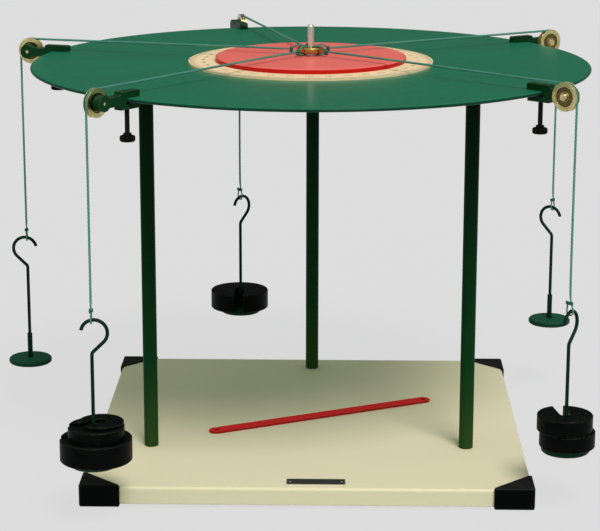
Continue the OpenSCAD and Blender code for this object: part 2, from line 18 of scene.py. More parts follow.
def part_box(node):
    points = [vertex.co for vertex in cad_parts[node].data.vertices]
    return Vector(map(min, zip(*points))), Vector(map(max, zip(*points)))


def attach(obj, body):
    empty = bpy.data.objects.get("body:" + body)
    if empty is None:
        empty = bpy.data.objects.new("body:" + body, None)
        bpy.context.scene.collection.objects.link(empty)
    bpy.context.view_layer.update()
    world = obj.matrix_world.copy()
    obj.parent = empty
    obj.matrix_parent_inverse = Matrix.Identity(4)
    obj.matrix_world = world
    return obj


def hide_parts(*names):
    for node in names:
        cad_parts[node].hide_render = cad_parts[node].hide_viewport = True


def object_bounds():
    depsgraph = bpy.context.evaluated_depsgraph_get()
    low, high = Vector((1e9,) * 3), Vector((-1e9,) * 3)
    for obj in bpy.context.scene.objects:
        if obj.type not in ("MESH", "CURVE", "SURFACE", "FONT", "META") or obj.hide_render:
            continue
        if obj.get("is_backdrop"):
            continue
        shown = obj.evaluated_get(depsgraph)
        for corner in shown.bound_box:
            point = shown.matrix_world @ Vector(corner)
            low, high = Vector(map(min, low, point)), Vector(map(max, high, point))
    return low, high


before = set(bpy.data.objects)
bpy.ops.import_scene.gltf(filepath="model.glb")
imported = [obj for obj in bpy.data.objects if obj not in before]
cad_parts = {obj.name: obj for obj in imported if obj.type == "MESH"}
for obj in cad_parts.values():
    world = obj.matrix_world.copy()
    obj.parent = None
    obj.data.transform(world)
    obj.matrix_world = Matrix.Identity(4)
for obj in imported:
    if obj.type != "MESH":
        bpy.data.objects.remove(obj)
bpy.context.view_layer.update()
scene = bpy.context.scene
MM = 0.001

# %% [markdown]
# The sizes below are the ones that the CAD part is built on, in metres. Keeping them together
# means that a piece made here and the piece that carries it can't drift apart. The five
# stations are numbered as in CAD: left, front left, front right, rear right and rear.

# %% Sizes shared with the CAD part
DECK_TOP = 0.018
TABLE_TOP = 0.353
SCALE_TOP = 0.355
AXLE_OUT, AXLE_Z = 0.2745, 0.3515
HANG_OUT = 0.2854
STATIONS = {
    1: {"angle": 163.2, "drop": 0.181, "facing": 0},
    2: {"angle": 232.1, "drop": 0.1775, "facing": 180},
    3: {"angle": 319.9, "drop": 0.1795, "facing": 235},
    4: {"angle": 33.6, "drop": 0.165, "facing": 325},
    5: {"angle": 105.7, "drop": 0.181, "facing": 228},
}
UP = Vector((0, 0, 1))


def level_way(degrees):
    """The level direction at an angle from +X."""
    a = math.radians(degrees)
    return Vector((math.cos(a), math.sin(a), 0))


def outward(n):
    return level_way(STATIONS[n]["angle"])


def tangent(n):
    return level_way(STATIONS[n]["angle"] + 90)


def across_hook(n):
    return level_way(STATIONS[n]["facing"] + 90)


def hanging_point(n):
    return HANG_OUT * outward(n) + UP * (AXLE_Z - STATIONS[n]["drop"])


print("hanging points:", [tuple(round(v, 4) for v in hanging_point(n)) for n in STATIONS])

# %% [markdown]
# ## The camera
#
# A catalogue picture like this is taken with a long lens from a little above the table, so that
# the round table shows as a narrow ellipse and the legs stay nearly parallel. A short lens from
# nearby could frame the same width, but it would splay the legs. The camera looks down by 14
# degrees, from 1.8 m away. A camera looks along its own -Z, so the pitch starts from 90 degrees.

# %% Camera
SENSOR_WIDTH = 36.0  # mm
FOCAL_SHARE = 2063.6 / 600  # the focal length as a share of the picture's width
CAMERA_PLACE = (0.0245, -1.8418, 0.6232)
TURN_LEFT, LOOK_DOWN, TILT = 1.052, 13.973, 0.086  # degrees

camera_data = bpy.data.cameras.new("catalogue_camera")
camera_data.sensor_fit = "HORIZONTAL"
camera_data.sensor_width = SENSOR_WIDTH
camera_data.lens = FOCAL_SHARE * SENSOR_WIDTH
camera_data.clip_start = 0.05
camera_data.clip_end = 60
camera = bpy.data.objects.new("catalogue_camera", camera_data)
scene.collection.objects.link(camera)
camera.matrix_world = (
    Matrix.Translation(CAMERA_PLACE)
    @ Matrix.Rotation(math.radians(TURN_LEFT), 4, "Z")
    @ Matrix.Rotation(math.radians(90 - LOOK_DOWN), 4, "X")
    @ Matrix.Rotation(math.radians(TILT), 4, "Z")
)
scene.camera = camera
print("lens:", round(camera_data.lens, 1), "mm")

# %% [markdown]
# ## The cords
#
# Each cord is three soft strands twisted together, 2 mm thick over the fluff. Where it is tied it
# is pulled down to its firm core of 1.5 mm, which is all that the CAD part has of it, as a plain
# tube. It is looped round the brass ring, runs nearly level to its pulley, over the groove and
# straight down, and ends in a loop under the wire of the hook. A curve with a round bevel would
# give a smooth wire. To show the strands, a three-lobed outline is carried along the route
# instead and turned a little at every step. The route's points are the CAD part's own, and a
# Catmull-Rom spline rounds them off, because it passes through every point that it is given.

# %% The route of a cord
# Distance from the pin and height over the table, in mm, from the ring's loop to the hanging part.
CORD_OVER = [
    (20, 9.6), (17, 9.5), (14.5, 8.4), (12.5, 7.9), (8, 7.9), (6.3, 8.8), (5.9, 11.5),
    (6.3, 14.2), (8, 15.1), (12.5, 15.1), (14.5, 14.4), (17.5, 12.2), (21, 11.5), (60, 11.2),
    (140, 10.5), (220, 9.8), (262, 9.5), (274.3, 9.4), (277.3, 9.1), (280, 7.9),
    (282.3, 6.3), (284, 4.1), (285.1, 1.4), (285.4, -1.5), (285.4, -8),
]
# Distance across the hook and height over its seat, in mm, down and round the hook's wire.
CORD_HOOK = [
    (0, 16), (0.4, 11), (1.7, 6), (2.8, 2), (2.8, 0), (2, -1.95), (0, -2.8), (-2, -1.95),
    (-2.8, 0), (-2.8, 2), (-2.4, 6), (-1.8, 9),
]
ROUTE_STEP = 0.0008


def cord_route(n):
    out, across, hang = outward(n), across_hook(n), hanging_point(n)
    over = [out * (x * MM) + UP * (TABLE_TOP + z * MM) for x, z in CORD_OVER]
    return over + [hang + across * (x * MM) + UP * (z * MM) for x, z in CORD_HOOK]


def rounded(points, step):
    """Points about one step apart on a centripetal Catmull-Rom spline."""
    padded = [2 * points[0] - points[1], *points, 2 * points[-1] - points[-2]]
    line = []
    for i in range(1, len(padded) - 2):
        p0, p1, p2, p3 = padded[i - 1:i + 3]
        t0, t1 = 0.0, (p1 - p0).length ** 0.5
        t2 = t1 + (p2 - p1).length ** 0.5
        t3 = t2 + (p3 - p2).length ** 0.5
        count = max(1, round((p2 - p1).length / step))
        for k in range(count):
            t = t1 + (t2 - t1) * k / count
            a1 = ((t1 - t) * p0 + (t - t0) * p1) / (t1 - t0)
            a2 = ((t2 - t) * p1 + (t - t1) * p2) / (t2 - t1)
            a3 = ((t3 - t) * p2 + (t - t2) * p3) / (t3 - t2)
            b1 = ((t2 - t) * a1 + (t - t0) * a2) / (t2 - t0)
            b2 = ((t3 - t) * a2 + (t - t1) * a3) / (t3 - t1)
            line.append(((t2 - t) * b1 + (t - t1) * b2) / (t2 - t1))
    line.append(points[-1].copy())
    return line


routes = {n: rounded(cord_route(n), ROUTE_STEP) for n in STATIONS}
print("points on a route:", len(routes[1]))

# %% [markdown]
# A frame of two directions square to the cord travels along it. Turning it only as far as the
# cord itself turns keeps the strands from jumping at a corner. At each point of the route a ring
# of corners is laid in that frame, and neighbouring rings are joined by faces. The finished mesh
# then rides on one of the part's bodies, so that it moves with the CAD pieces there.

# %% Carry an outline along a line
def square_frames(line):
    """For each point, two unit directions square to the line, with no sudden turn."""
    ways = []
    for i in range(len(line)):
        ahead = line[min(i + 1, len(line) - 1)] - line[max(i - 1, 0)]
        ways.append(ahead.normalized())
    start = UP if abs(ways[0].z) < 0.9 else Vector((1, 0, 0))
    u = ways[0].cross(start).normalized()
    frames = []
    for i, way in enumerate(ways):
        if i:
            u = ways[i - 1].rotation_difference(way) @ u
            u = (u - way * u.dot(way)).normalized()
        frames.append((u, way.cross(u)))
    return frames


def skinned(rings, smooth=False):
    """A closed mesh from rings of corners, each joined to the next by faces."""
    bm = bmesh.new()
    rings = [[bm.verts.new(p) for p in ring] for ring in rings]
    for one, two in zip(rings, rings[1:]):
        for k in range(len(one)):
            j = (k + 1) % len(one)
            bm.faces.new((one[k], one[j], two[j], two[k])).smooth = smooth
    bm.faces.new(list(reversed(rings[0])))
    bm.faces.new(rings[-1])
    return bm


def swept(line, radius_at, sides):
    """A closed tube. radius_at(distance, angle) is the outline's radius."""
    rings, gone = [], 0.0
    for i, (p, (u, v)) in enumerate(zip(line, square_frames(line))):
        if i:
            gone += (p - line[i - 1]).length
        ring = []
        for k in range(sides):
            a = 2 * math.pi * k / sides
            ring.append(p + radius_at(gone, a) * (math.cos(a) * u + math.sin(a) * v))
        rings.append(ring)
    return skinned(rings, smooth=True)


def object_from(name, bm, material=None):
    mesh = bpy.data.meshes.new(name)
    bm.to_mesh(mesh)
    bm.free()
    if material:
        mesh.materials.append(material)
    obj = bpy.data.objects.new(name, mesh)
    scene.collection.objects.link(obj)
    return obj


def piece_from(name, bm, body, material=None):
    """Turns bm into an object that rides on a body, with the material if one is given."""
    obj = object_from(name, bm, material)
    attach(obj, body)
    return obj


print("frames along a cord:", len(square_frames(routes[1])))

# %% [markdown]
# The outline's radius swells and shrinks three times round, once for each strand, and that
# pattern turns once in 9 mm, which is the lay of the cord. In the loops at both ends the radius
# is that of the firm core, and over the first 6 mm past a loop it grows to that of the whole cord.

# %% The strands
CORE_RADIUS, CORD_RADIUS = 0.00075, 0.00105
LAY = 0.009
RING_LOOP, HOOK_LOOP = 0.038, 0.028  # how much of a cord's length is in each loop
LOOSENING = 0.006
STRANDS, STRAND_SWELL = 3, 0.12
OUTLINE_SIDES = 12


def strand_radius(gone, a, length):
    past_loops = min(gone - RING_LOOP, length - HOOK_LOOP - gone)
    loose = min(max(past_loops / LOOSENING, 0), 1)
    radius = CORE_RADIUS * (1 - loose) + CORD_RADIUS * loose
    return radius * (0.9 + STRAND_SWELL * math.cos(STRANDS * (a - 2 * math.pi * gone / LAY)))


print("steps in one lay:", round(LAY / ROUTE_STEP))

# %% [markdown]
# The loops are closed with a few turns of finer thread, bound round both runs of the cord like
# the throat of a knot. Each binding is a short coil on an oval, once near the ring and once over
# the hook. It is a piece of its own, since it has a colour of its own.

# %% Bindings that close the loops
THREAD_RADIUS, THREAD_PITCH = 0.00045, 0.0009
COIL_TURNS, STEPS_A_TURN = 2.6, 22
RING_THROAT = {"out": 0.0185, "up": 0.0107}
HOOK_THROAT = {"up": 0.0078, "across": -0.0006}
RING_OVAL, HOOK_OVAL = (0.00235, 0.0012), (0.0031, 0.0014)


def binding(name, n, middle, along, wide, narrow, oval):
    """A coil round a line through middle. oval is half its width in two directions."""
    line, steps = [], int(COIL_TURNS * STEPS_A_TURN)
    for i in range(steps + 1):
        a = 2 * math.pi * COIL_TURNS * i / steps
        rise = (i / steps - 0.5) * COIL_TURNS * THREAD_PITCH
        line.append(
            middle + along * rise + wide * (oval[0] * math.cos(a))
            + narrow * (oval[1] * math.sin(a))
        )
    bm = swept(line, lambda gone, a: THREAD_RADIUS, 8)
    return piece_from(f"{name}_{n}", bm, f"clamp_{n}")


def ring_binding(n):
    out = outward(n)
    middle = out * RING_THROAT["out"] + UP * (TABLE_TOP + RING_THROAT["up"])
    return binding("ring_binding", n, middle, out, UP, out.cross(UP), RING_OVAL)


def hook_binding(n):
    across = across_hook(n)
    middle = hanging_point(n) + UP * HOOK_THROAT["up"] + across * HOOK_THROAT["across"]
    return binding("hook_binding", n, middle, UP, across, across.cross(UP), HOOK_OVAL)


print("steps in a binding:", int(COIL_TURNS * STEPS_A_TURN))

# %% [markdown]
# A cord rides on its clamp's body, because the clamp sets which way the cord points and takes it
# along round the rim. The cord stands in for the plain tube of the CAD part. Its length is added
# up along the route, from the end of one loop to the end of the other.

# %% Make the five cords
cords = []
for n in STATIONS:
    length = sum((a - b).length for a, b in zip(routes[n], routes[n][1:]))
    bm = swept(routes[n], lambda gone, a: strand_radius(gone, a, length), OUTLINE_SIDES)
    line = piece_from(f"twisted_cord_{n}", bm, f"clamp_{n}")
    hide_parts(f"cord_{n}")
    ring_knot, hook_knot = ring_binding(n), hook_binding(n)
    cords += [line, ring_knot, hook_knot]
    print(f"cord {n}: {length:.3f} m")

# %% [markdown]
# ## Floor and light
#
# The picture has a plain pale ground with next to no shadow. A white sweep of paper lit until
# it glows would do that in a studio, but it would also throw light up at the object. Here the
# floor shows its pale grey only to the camera and to gloss, by way of the Light Path node. To
# everything else it is ordinary matt paper. A tenth of it stays matt for the camera too, so
# that a faint shadow is left. Polished things see it a little darker than the camera does.

# %% Helpers for nodes
def add(tree, kind, **settings):
    """A new node with its properties set."""
    node = tree.nodes.new(kind)
    for key, value in settings.items():
        setattr(node, key, value)
    return node


def wire(tree, source, target):
    tree.links.new(source, target)


def feed(tree, value, socket):
    """Wires a socket on, or types a plain value in."""
    if isinstance(value, bpy.types.NodeSocket):
        wire(tree, value, socket)
    else:
        socket.default_value = value


def math_node(tree, operation, a, b=None, clamp=False):
    node = add(tree, "ShaderNodeMath", operation=operation, use_clamp=clamp)
    feed(tree, a, node.inputs[0])
    if b is not None:
        feed(tree, b, node.inputs[1])
    return node.outputs[0]


def product(tree, first, *others, clamp=False):
    """Everything multiplied together, and held between 0 and 1 if clamp is set."""
    for other in others:
        first = math_node(tree, "MULTIPLY", first, other, clamp)
    return first


def ramp(tree, value, low, high, to_low=0.0, to_high=1.0):
    """value from low to high, stretched to run from to_low to to_high and held there."""
    node = add(tree, "ShaderNodeMapRange")
    wire(tree, value, node.inputs["Value"])
    for label, number in zip(
        ("From Min", "From Max", "To Min", "To Max"), (low, high, to_low, to_high)
    ):
        node.inputs[label].default_value = number
    return node.outputs["Result"]


def grey_shader(tree, kind, level):
    """A shader of one kind in an even grey."""
    node = add(tree, kind)
    node.inputs["Color"].default_value = (level, level, level, 1)
    return node.outputs[0]


def chosen_by(tree, mask, first, second):
    """The first shader where the mask is 0, and the second where it is 1."""
    node = add(tree, "ShaderNodeMixShader")
    for value, socket in zip((mask, first, second), node.inputs):
        wire(tree, value, socket)
    return node.outputs[0]


print("kinds of shader node:", sum(kind.startswith("ShaderNode") for kind in dir(bpy.types)))

# %% [markdown]
# The floor is one large square. Its material asks the Light Path node what kind of ray has
# arrived, and mixes paper and glow by the answer.

# %% Pale floor
BACKGROUND = 0.723  # a pale grey, as linear light
FLOOR_GLOW = 0.743  # with a tenth of matt paper lit by the lamps this makes the same grey
GLOW_SHARE = 0.9
GLOSSY_SHARE = 0.8
PAPER_GREY = 0.5
FLOOR_HALF = 14

floor_paint = bpy.data.materials.new("pale_floor")
floor_paint.use_nodes = True
ft = floor_paint.node_tree
ft.nodes.clear()
ray = add(ft, "ShaderNodeLightPath")
share = product(ft, ray.outputs["Is Camera Ray"], GLOW_SHARE)
pale = chosen_by(ft, share, grey_shader(ft, "ShaderNodeBsdfDiffuse", PAPER_GREY),
                 grey_shader(ft, "ShaderNodeEmission", FLOOR_GLOW))
ground = chosen_by(ft, ray.outputs["Is Glossy Ray"], pale,
                   grey_shader(ft, "ShaderNodeEmission", GLOSSY_SHARE * BACKGROUND))
wire(ft, ground, add(ft, "ShaderNodeOutputMaterial").inputs[0])

bm = bmesh.new()
bmesh.ops.create_grid(bm, x_segments=1, y_segments=1, size=FLOOR_HALF)
floor = object_from("pale_floor", bm, floor_paint)
floor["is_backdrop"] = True
scene.view_settings.view_transform = "Standard"
print("floor:", round(floor.dimensions.x), "m wide")

# %% [markdown]
# The world is the room round the set, and each kind of ray sees its own. The camera sees the
# floor's grey, so that no horizon shows. Gloss sees a white room that is bright overhead, where
# the lamps hang, and on the camera's side, and dark behind the object, where no light falls.
# Polished brass needs that difference, because a metal in an evenly lit room looks like flat
# yellow paint. All other rays get a grey with a trace of green, for light that has bounced off
# the table and the walls.

# %% World
DARK_SIDE, FRONT, OVERHEAD = 0.06, 0.8, 1.0  # how bright gloss sees the room
BOUNCED_LIGHT = (0.44, 0.52, 0.465, 1)

world = bpy.data.worlds.new("pale_studio")
world.use_nodes = True
scene.world = world
wt = world.node_tree
wt.nodes.clear()
ray = add(wt, "ShaderNodeLightPath")
toward = add(wt, "ShaderNodeSeparateXYZ")
wire(wt, add(wt, "ShaderNodeTexCoord").outputs["Generated"], toward.inputs[0])
room = add(wt, "ShaderNodeBackground")
room.inputs["Color"].default_value = (1, 1, 1, 1)
wire(wt, math_node(
    wt, "MAXIMUM", ramp(wt, toward.outputs["Z"], 0.4, 0.95, DARK_SIDE, OVERHEAD),
    ramp(wt, toward.outputs["Y"], 0.5, -0.3, DARK_SIDE, FRONT)), room.inputs["Strength"])
bounce = add(wt, "ShaderNodeBackground")
bounce.inputs["Color"].default_value = BOUNCED_LIGHT
filling = chosen_by(wt, ray.outputs["Is Glossy Ray"], bounce.outputs[0], room.outputs[0])
shown = chosen_by(wt, ray.outputs["Is Camera Ray"], filling,
                  grey_shader(wt, "ShaderNodeBackground", BACKGROUND))
wire(wt, shown, add(wt, "ShaderNodeOutputWorld").inputs[0])
print("world nodes:", len(wt.nodes))

# %% [markdown]
# The main light is a soft one in front of the table and to the right, 55 degrees up. The edge of
# the table's shadow on the tray gives that: it lies on the rear half and slants, with more of
# the tray lit on the left than the right. A sun lamp with a wide disc gives the softness of a
# big panel, and lights the whole floor evenly. It has a little less green than white light, as
# the room round it has a little more. A second, very soft one from beside the camera lifts the
# upright faces.

# %% Lamps
def soft_sun(name, toward, spread, strength, colour=(1, 1, 1)):
    """A sun whose light comes from the direction given."""
    data = bpy.data.lights.new(name, "SUN")
    data.color = colour
    data.angle = math.radians(spread)
    data.energy = strength
    lamp = bpy.data.objects.new(name, data)
    scene.collection.objects.link(lamp)
    lamp.matrix_world = (-Vector(toward)).to_track_quat("-Z", "Y").to_matrix().to_4x4()
    lamp.location = Vector(toward) * 3  # out of the way, since a sun's place has no effect


soft_sun("main_light", toward=(0.26, -0.645, 1.0), spread=24, strength=2.46,
         colour=(1.0, 0.965, 0.99))
soft_sun("camera_side_fill", toward=(-0.3, -1.0, 0.35), spread=80, strength=0.13)

# %% [markdown]
# ## Effects that several finishes share
#
# Sprayed enamel, moulded plastic, cast iron and turned brass all differ, but some things come
# back: softened edges, the faint unevenness of a coat, fine scratches, dust on what faces up,
# and the rings that a lathe leaves. Each is made once, as a node group with its own inputs. All
# of them read Object coordinates, which are metres here, so a size typed into a group is a real
# size, and it stays put when a piece moves.

# %% Helpers for node groups
def group(name, inputs, outputs):
    """An empty node group: returns the tree and the sockets at both its ends."""
    tree = bpy.data.node_groups.new(name, "ShaderNodeTree")
    kinds = {"f": "NodeSocketFloat", "v": "NodeSocketVector", "c": "NodeSocketColor"}
    for label, kind, value in inputs:
        socket = tree.interface.new_socket(label, in_out="INPUT", socket_type=kinds[kind])
        socket.default_value = value
    for label, kind in outputs:
        tree.interface.new_socket(label, in_out="OUTPUT", socket_type=kinds[kind])
    return tree, add(tree, "NodeGroupInput").outputs, add(tree, "NodeGroupOutput").inputs


def vector_node(tree, operation, a, b=None):
    node = add(tree, "ShaderNodeVectorMath", operation=operation)
    feed(tree, a, node.inputs[0])
    if b is not None:
        feed(tree, b, node.inputs[1])
    return node.outputs["Value" if operation in ("DOT_PRODUCT", "LENGTH") else "Vector"]


def noise(tree, place, scale, detail=2.0, roughness=0.5):
    node = add(tree, "ShaderNodeTexNoise")
    wire(tree, place, node.inputs["Vector"])
    feed(tree, scale, node.inputs["Scale"])
    node.inputs["Detail"].default_value = detail
    node.inputs["Roughness"].default_value = roughness
    return node.outputs["Fac"]


def object_place(tree):
    return add(tree, "ShaderNodeTexCoord").outputs["Object"]


def object_height(tree):
    apart = add(tree, "ShaderNodeSeparateXYZ")
    wire(tree, object_place(tree), apart.inputs[0])
    return apart.outputs["Z"]


def swung(tree, start, wave, spread, clamp=False):
    """start, moved down or up by up to spread as the wave goes from 0 to 1."""
    offset = product(tree, math_node(tree, "SUBTRACT", wave, 0.5), spread, 2.0)
    return math_node(tree, "ADD", start, offset, clamp)


print("node groups so far:", len(bpy.data.node_groups))

# %% [markdown]
# **Soft edges.** No real edge is perfectly sharp: paint and polish round it by a few tenths of a
# millimetre, and that narrow band catches the light. Bevelling every mesh would do it, but the
# Bevel node bends only the normals, which costs no geometry. Where its normal and the true one
# disagree there is an edge, so the same node also tells where paint would wear.

# %% Group: soft edges and wear
edges, g_in, g_out = group(
    "soft_edges", [("Radius", "f", 0.0004), ("Breakup", "f", 0.5)],
    [("Normal", "v"), ("Wear", "f")],
)
bevel = add(edges, "ShaderNodeBevel", samples=4)
wire(edges, g_in["Radius"], bevel.inputs["Radius"])
true_normal = add(edges, "ShaderNodeNewGeometry").outputs["Normal"]
turned_away = math_node(
    edges, "SUBTRACT", 1.0, vector_node(edges, "DOT_PRODUCT", bevel.outputs[0], true_normal)
)
speckle = ramp(edges, noise(edges, object_place(edges), 420, 3.0, 0.65), 0.42, 0.62)
broken = math_node(edges, "POWER", speckle, g_in["Breakup"])
patchy = product(edges, ramp(edges, turned_away, 0.03, 0.16), broken, clamp=True)
wire(edges, bevel.outputs[0], g_out["Normal"])
wire(edges, patchy, g_out["Wear"])
print(edges.name, "has", len(edges.nodes), "nodes")

# %% [markdown]
# **Coat.** A sprayed coat dries with a faint orange peel of about a millimetre, is never quite
# one colour over a hand's breadth, and has dull and bright patches where hands have polished
# it. The group puts out a brighter or darker version of the colour, the roughness, and a height
# that a Bump node turns into shading.

# %% Group: coat
coat, g_in, g_out = group(
    "coat",
    [("Color", "c", (0.5, 0.5, 0.5, 1)), ("Grain Size", "f", 0.0011),
     ("Mottle", "f", 0.06), ("Roughness", "f", 0.4), ("Roughness Spread", "f", 0.08)],
    [("Color", "c"), ("Roughness", "f"), ("Height", "f")],
)
place = object_place(coat)
broad = noise(coat, place, 9, 3.0, 0.55)
handled = noise(coat, place, 46, 4.0, 0.6)
grain = noise(coat, place, math_node(coat, "DIVIDE", 1.0, g_in["Grain Size"]), 1.5)
shade = add(coat, "ShaderNodeHueSaturation")
wire(coat, g_in["Color"], shade.inputs["Color"])
wire(coat, swung(coat, 1.0, broad, g_in["Mottle"]), shade.inputs["Value"])
rough = swung(coat, g_in["Roughness"], handled, g_in["Roughness Spread"], clamp=True)
wire(coat, shade.outputs[0], g_out["Color"])
wire(coat, rough, g_out["Roughness"])
wire(coat, grain, g_out["Height"])
print(coat.name, "has", len(coat.nodes), "nodes")

# %% [markdown]
# ** Dust and rubs.** A piece that stands in a cupboard gathers a thin pale film on what faces up,
# thicker in patches. The mask is the upward part of the normal times a blotchy noise. The first
# half of that is a group of its own, because top faces also fade in the light while sides keep
# their colour, and because the painted shade on upright faces and on the top of a level cord
# uses it too. Its second mask counts undersides as well. Rubs are fine scratches: a noise
# stretched into long thin streaks, of which only the peaks are kept.

# %% Groups: facing up, dust and scratches
facing, g_in, g_out = group(
    "facing_up", [("From", "f", 0.55), ("To", "f", 0.98)], [("Mask", "f"), ("Level", "f")]
)
up_part = add(facing, "ShaderNodeSeparateXYZ")
wire(facing, add(facing, "ShaderNodeNewGeometry").outputs["Normal"], up_part.inputs[0])
span = math_node(facing, "SUBTRACT", g_in["To"], g_in["From"])
either_way = math_node(facing, "ABSOLUTE", up_part.outputs["Z"])
for label, rise in (("Mask", up_part.outputs["Z"]), ("Level", either_way)):
    above = math_node(facing, "SUBTRACT", rise, g_in["From"])
    wire(facing, math_node(facing, "DIVIDE", above, span, clamp=True), g_out[label])

dust, g_in, g_out = group("dust", [("Amount", "f", 0.15)], [("Mask", "f")])
lying = add(dust, "ShaderNodeGroup", node_tree=facing).outputs["Mask"]
blotch = ramp(dust, noise(dust, object_place(dust), 60, 5.0, 0.6), 0.35, 0.75, 0.25, 1.0)
film = product(dust, lying, blotch, g_in["Amount"], clamp=True)
wire(dust, film, g_out["Mask"])

STREAK_SCALE = (18.0, 950.0, 300.0)  # waves in a metre: long one way and fine across

rubs, g_in, g_out = group(
    "rubs", [("Turn", "f", 0.6), ("Amount", "f", 0.5)], [("Mask", "f")]
)
turned = add(rubs, "ShaderNodeVectorRotate", rotation_type="Z_AXIS")
wire(rubs, object_place(rubs), turned.inputs["Vector"])
wire(rubs, g_in["Turn"], turned.inputs["Angle"])
stretched = vector_node(rubs, "MULTIPLY", turned.outputs[0], STREAK_SCALE)
streaks = ramp(rubs, noise(rubs, stretched, 1.0, 2.0, 0.5), 0.66, 0.74)
gaps = ramp(rubs, noise(rubs, object_place(rubs), 28, 2.0, 0.5), 0.45, 0.6)
scratched = product(rubs, streaks, gaps, g_in["Amount"], clamp=True)
wire(rubs, scratched, g_out["Mask"])
print("nodes:", {g.name: len(g.nodes) for g in (facing, dust, rubs)})

# %% [markdown]
# **Lathe rings and threads.** A wheel, a ring or a mass is turned, and the tool leaves grooves
# round its axis. Their pattern depends only on how far a point is from the axis and how far it
# is along it, so the group takes the axis as a point and a direction and feeds those two numbers
# to a noise. It puts out the first number too. A screw thread is the same thing with the turn
# round the axis added in, which makes the rings into one helix.

# %% Groups: lathe rings and screw thread
lathe, g_in, g_out = group(
    "lathe_rings",
    [("Centre", "v", (0, 0, 0)), ("Axis", "v", (0, 0, 1)), ("Pitch", "f", 0.00035)],
    [("Height", "f"), ("Tone", "f"), ("Radius", "f")],
)
from_centre = vector_node(lathe, "SUBTRACT", object_place(lathe), g_in["Centre"])
along = vector_node(lathe, "DOT_PRODUCT", from_centre, g_in["Axis"])
scaled = add(lathe, "ShaderNodeVectorMath", operation="SCALE")
wire(lathe, g_in["Axis"], scaled.inputs[0])
wire(lathe, along, scaled.inputs["Scale"])
from_axis = vector_node(lathe, "SUBTRACT", from_centre, scaled.outputs["Vector"])
radial = vector_node(lathe, "LENGTH", from_axis)
spot = add(lathe, "ShaderNodeCombineXYZ")
wire(lathe, math_node(lathe, "DIVIDE", radial, g_in["Pitch"]), spot.inputs[0])
wire(lathe, math_node(lathe, "DIVIDE", along, g_in["Pitch"]), spot.inputs[1])
wire(lathe, noise(lathe, spot.outputs[0], 1.0, 2.0, 0.7), g_out["Height"])
wire(lathe, noise(lathe, spot.outputs[0], 0.13, 2.0, 0.6), g_out["Tone"])
wire(lathe, radial, g_out["Radius"])

thread, g_in, g_out = group(
    "screw_thread",
    [("Centre", "v", (0, 0, 0)), ("Pitch", "f", 0.0007)], [("Height", "f"), ("Groove", "f")],
)
from_centre = vector_node(thread, "SUBTRACT", object_place(thread), g_in["Centre"])
parts = add(thread, "ShaderNodeSeparateXYZ")
wire(thread, from_centre, parts.inputs[0])
angle = math_node(thread, "ARCTAN2", parts.outputs["Y"], parts.outputs["X"])
helix = math_node(
    thread, "ADD", math_node(thread, "DIVIDE", parts.outputs["Z"], g_in["Pitch"]),
    math_node(thread, "DIVIDE", angle, 2 * math.pi),
)
wave = math_node(thread, "PINGPONG", helix, 0.5)
wire(thread, product(thread, wave, 2.0), g_out["Height"])
wire(thread, ramp(thread, wave, 0.22, 0.08), g_out["Groove"])
print("groups:", [g.name for g in bpy.data.node_groups])

# %% [markdown]
# ## Finishes
#
# A finish here is one Principled BSDF with the groups placed round it. What is the same all
# over the surface, such as how strong a gloss is, is typed into the shader itself. What changes
# over the surface comes from the groups. Colours are written as they look on the screen, from
# 0 to 255, and turned into the linear values that Blender calculates with.

# %% Helpers for finishes
def screen(r, g, b):
    """A colour as it looks on the screen, as Blender's linear values."""
    def one(v):
        v /= 255
        return v / 12.92 if v <= 0.04045 else ((v + 0.055) / 1.055) ** 2.4
    return (one(r), one(g), one(b), 1)


def place_group(tree, kind, **values):
    """Puts a group among a material's nodes, and returns the group's output sockets."""
    node = add(tree, "ShaderNodeGroup", node_tree=bpy.data.node_groups[kind])
    for label, value in values.items():
        node.inputs[label.replace("_", " ")].default_value = value
    return node.outputs


def coat_on(tree, colour, grain, mottle, rough, spread):
    return place_group(tree, "coat", Color=colour, Grain_Size=grain, Mottle=mottle,
                       Roughness=rough, Roughness_Spread=spread)


def mixed(tree, mask, a, b, kind="RGBA"):
    """a where the mask is 0 and b where it is 1, as colours or, with FLOAT, as numbers."""
    node = add(tree, "ShaderNodeMix", data_type=kind)
    wire(tree, mask, node.inputs["Factor"])
    sort = "VALUE" if kind == "FLOAT" else kind
    for label, value in (("A", a), ("B", b)):
        feed(tree, value, next(s for s in node.inputs if s.name == label and s.type == sort))
    return next(s for s in node.outputs if s.type == sort)


def finish(name, **constants):
    """A material with one Principled BSDF whose plain values are typed in."""
    material = bpy.data.materials.new(name)
    material.use_nodes = True
    tree = material.node_tree
    shader = tree.nodes["Principled BSDF"]
    for label, value in constants.items():
        shader.inputs[label.replace("_", " ")].default_value = value
    return material, tree, shader


def surface(tree, shader, colour, roughness=None, height=None, depth=0.0, normal=None):
    """Wires up a shader's colour and, where they are given, its roughness and its bumps."""
    wire(tree, colour, shader.inputs["Base Color"])
    if roughness is not None:
        wire(tree, roughness, shader.inputs["Roughness"])
    if height is not None:
        bump = add(tree, "ShaderNodeBump")
        bump.inputs["Distance"].default_value = depth
        wire(tree, height, bump.inputs["Height"])
        if normal is not None:
            wire(tree, normal, bump.inputs["Normal"])
        wire(tree, bump.outputs[0], shader.inputs["Normal"])


print("middle grey on the screen is", round(screen(128, 128, 128)[0], 3), "in light")

# %% [markdown]
# ** Enamel.** The table, the pans, the legs, the clamps, the tray and the bar are all sprayed and
# differ in colour, gloss and how much they are knocked about. Wear at an edge shows the
# grey primer under the colour rather than bright metal. Upright faces can have a darker colour
# than the tops, which is a painted shade. The legs are painted nearly black up under the table, a
# painted shade, and olive at the tray, a painted light where the lit tray brightens them.

# %% Enamel
DUST = screen(196, 190, 178)
PRIMER = screen(150, 148, 140)
